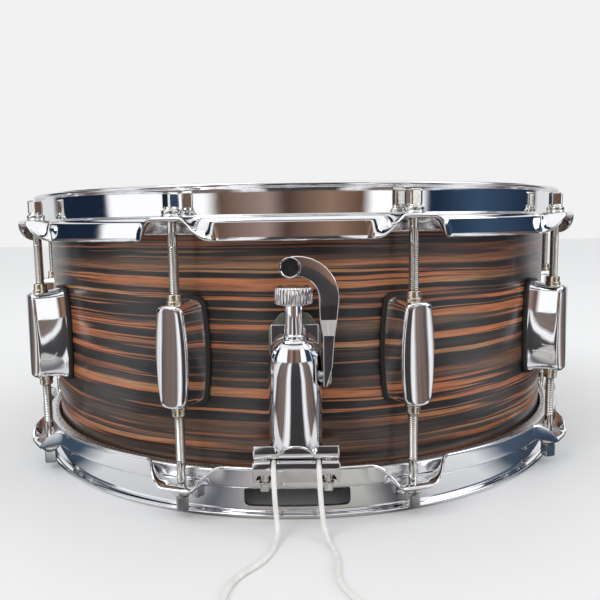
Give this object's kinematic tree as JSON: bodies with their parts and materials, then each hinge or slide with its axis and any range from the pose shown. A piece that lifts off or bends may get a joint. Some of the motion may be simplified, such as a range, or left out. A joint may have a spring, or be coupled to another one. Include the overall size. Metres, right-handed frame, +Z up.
{
  "type": "snare drum",
  "caption": "Snare drum with a striped ebony veneer shell, chrome hoops, lugs and tension rods, and a lever strainer that drops the snare wires.",
  "frame": {"origin": "centre of the snare side hoop's rim plane, on which the drum rests", "axes": "+Z up through the batter head, -Y out through the strainer, +X to the right seen from the strainer"},
  "size_m": [0.3994, 0.5007, 0.1697],
  "materials": {
    "chrome": "mirror polished plating",
    "shell_wood": "striped ebony veneer, satin lacquer",
    "batter_film": "white sprayed coating on polyester film",
    "snare_film": "clear hazy polyester film",
    "flesh_hoop": "satin extruded aluminium",
    "insert_brass": "nickel plated brass",
    "gasket_rubber": "matte moulded rubber",
    "slide_steel": "zinc plated",
    "snare_steel": "bright steel wire",
    "cord": "white braided cord"
  },
  "bodies": {
    "drum": {"back_snare_cords": "cord", "batter_head_film": "batter_film", "batter_head_hoop": "flesh_hoop", "batter_hoop": "chrome", "butt_body": "chrome", "butt_clamp_plate": "chrome", "butt_clamp_screws": "chrome", "front_snare_cords": "cord", "gaskets": "gasket_rubber", "lever_pivot_pin": "chrome", "lug_01": "chrome", "lug_02": "chrome", "lug_03": "chrome", "lug_04": "chrome", "lug_05": "chrome", "lug_06": "chrome", "lug_07": "chrome", "lug_08": "chrome", "lug_09": "chrome", "lug_10": "chrome", "lug_inserts": "insert_brass", "rod_washers": "chrome", "shell": "shell_wood", "shell_screws": "chrome", "snare_cord_tails": "cord", "snare_head_film": "snare_film", "snare_head_hoop": "flesh_hoop", "snare_hoop": "chrome", "strainer_back_plate": "chrome", "strainer_housing": "chrome", "vent_grommet": "chrome"},
    "top_rod_01_body": {"top_rod_01": "chrome"},
    "bottom_rod_01_body": {"bottom_rod_01": "chrome"},
    "top_rod_02_body": {"top_rod_02": "chrome"},
    "bottom_rod_02_body": {"bottom_rod_02": "chrome"},
    "top_rod_03_body": {"top_rod_03": "chrome"},
    "bottom_rod_03_body": {"bottom_rod_03": "chrome"},
    "top_rod_04_body": {"top_rod_04": "chrome"},
    "bottom_rod_04_body": {"bottom_rod_04": "chrome"},
    "top_rod_05_body": {"top_rod_05": "chrome"},
    "bottom_rod_05_body": {"bottom_rod_05": "chrome"},
    "top_rod_06_body": {"top_rod_06": "chrome"},
    "bottom_rod_06_body": {"bottom_rod_06": "chrome"},
    "top_rod_07_body": {"top_rod_07": "chrome"},
    "bottom_rod_07_body": {"bottom_rod_07": "chrome"},
    "top_rod_08_body": {"top_rod_08": "chrome"},
    "bottom_rod_08_body": {"bottom_rod_08": "chrome"},
    "top_rod_09_body": {"top_rod_09": "chrome"},
    "bottom_rod_09_body": {"bottom_rod_09": "chrome"},
    "top_rod_10_body": {"top_rod_10": "chrome"},
    "bottom_rod_10_body": {"bottom_rod_10": "chrome"},
    "carriage": {"strainer_slide": "slide_steel", "snare_clamp_block": "chrome", "snare_clamp_jaw": "chrome", "snare_clamp_screws": "chrome"},
    "knob": {"adjusting_knob": "chrome"},
    "lever": {"strainer_lever": "chrome", "lever_tip": "chrome"},
    "snares": {"snare_wires": "snare_steel", "snare_end_plates": "snare_steel"}
  },
  "joints": [
    {"name": "top_rod_01_turn", "type": "hinge", "parent": "drum", "child": "top_rod_01_body", "pos_m": [0.05921, -0.18222, 0.1547], "axis": [0, 0, 1], "continuous": true},
    {"name": "bottom_rod_01_turn", "type": "hinge", "parent": "drum", "child": "bottom_rod_01_body", "pos_m": [0.05921, -0.18222, 0.015], "axis": [0, 0, 1], "continuous": true},
    {"name": "top_rod_02_turn", "type": "hinge", "parent": "drum", "child": "top_rod_02_body", "pos_m": [0.15501, -0.11262, 0.1547], "axis": [0, 0, 1], "continuous": true},
    {"name": "bottom_rod_02_turn", "type": "hinge", "parent": "drum", "child": "bottom_rod_02_body", "pos_m": [0.15501, -0.11262, 0.015], "axis": [0, 0, 1], "continuous": true},
    {"name": "top_rod_03_turn", "type": "hinge", "parent": "drum", "child": "top_rod_03_body", "pos_m": [0.1916, 0, 0.1547], "axis": [0, 0, 1], "continuous": true},
    {"name": "bottom_rod_03_turn", "type": "hinge", "parent": "drum", "child": "bottom_rod_03_body", "pos_m": [0.1916, 0, 0.015], "axis": [0, 0, 1], "continuous": true},
    {"name": "top_rod_04_turn", "type": "hinge", "parent": "drum", "child": "top_rod_04_body", "pos_m": [0.15501, 0.11262, 0.1547], "axis": [0, 0, 1], "continuous": true},
    {"name": "bottom_rod_04_turn", "type": "hinge", "parent": "drum", "child": "bottom_rod_04_body", "pos_m": [0.15501, 0.11262, 0.015], "axis": [0, 0, 1], "continuous": true},
    {"name": "top_rod_05_turn", "type": "hinge", "parent": "drum", "child": "top_rod_05_body", "pos_m": [0.05921, 0.18222, 0.1547], "axis": [0, 0, 1], "continuous": true},
    {"name": "bottom_rod_05_turn", "type": "hinge", "parent": "drum", "child": "bottom_rod_05_body", "pos_m": [0.05921, 0.18222, 0.015], "axis": [0, 0, 1], "continuous": true},
    {"name": "top_rod_06_turn", "type": "hinge", "parent": "drum", "child": "top_rod_06_body", "pos_m": [-0.05921, 0.18222, 0.1547], "axis": [0, 0, 1], "continuous": true},
    {"name": "bottom_rod_06_turn", "type": "hinge", "parent": "drum", "child": "bottom_rod_06_body", "pos_m": [-0.05921, 0.18222, 0.015], "axis": [0, 0, 1], "continuous": true},
    {"name": "top_rod_07_turn", "type": "hinge", "parent": "drum", "child": "top_rod_07_body", "pos_m": [-0.15501, 0.11262, 0.1547], "axis": [0, 0, 1], "continuous": true},
    {"name": "bottom_rod_07_turn", "type": "hinge", "parent": "drum", "child": "bottom_rod_07_body", "pos_m": [-0.15501, 0.11262, 0.015], "axis": [0, 0, 1], "continuous": true},
    {"name": "top_rod_08_turn", "type": "hinge", "parent": "drum", "child": "top_rod_08_body", "pos_m": [-0.1916, 0, 0.1547], "axis": [0, 0, 1], "continuous": true},
    {"name": "bottom_rod_08_turn", "type": "hinge", "parent": "drum", "child": "bottom_rod_08_body", "pos_m": [-0.1916, 0, 0.015], "axis": [0, 0, 1], "continuous": true},
    {"name": "top_rod_09_turn", "type": "hinge", "parent": "drum", "child": "top_rod_09_body", "pos_m": [-0.15501, -0.11262, 0.1547], "axis": [0, 0, 1], "continuous": true},
    {"name": "bottom_rod_09_turn", "type": "hinge", "parent": "drum", "child": "bottom_rod_09_body", "pos_m": [-0.15501, -0.11262, 0.015], "axis": [0, 0, 1], "continuous": true},
    {"name": "top_rod_10_turn", "type": "hinge", "parent": "drum", "child": "top_rod_10_body", "pos_m": [-0.05921, -0.18222, 0.1547], "axis": [0, 0, 1], "continuous": true},
    {"name": "bottom_rod_10_turn", "type": "hinge", "parent": "drum", "child": "bottom_rod_10_body", "pos_m": [-0.05921, -0.18222, 0.015], "axis": [0, 0, 1], "continuous": true},
    {"name": "lever_throw", "type": "hinge", "parent": "drum", "child": "lever", "pos_m": [0.0148, -0.193, 0.07585], "axis": [1, 0, 0], "range_deg": [0, 90]},
    {"name": "snare_release", "type": "slide", "parent": "drum", "child": "carriage", "axis": [0, 0, 1], "range_m": [-0.007, 0], "deforming": ["front_snare_cords", "snare_cord_tails"]},
    {"name": "snare_drop", "type": "slide", "parent": "drum", "child": "snares", "axis": [0, 0, 1], "range_m": [-0.002, 0], "deforming": ["back_snare_cords"]},
    {"name": "knob_turn", "type": "hinge", "parent": "carriage", "child": "knob", "pos_m": [0, -0.192, 0.11105], "axis": [0, 0, 1], "continuous": true}
  ],
  "couplings": [
    {"joint": "lever_throw", "follows": "snare_release", "rad_per_m": -224.4},
    {"joint": "snare_drop", "follows": "snare_release", "ratio": 0.28571}
  ]
}
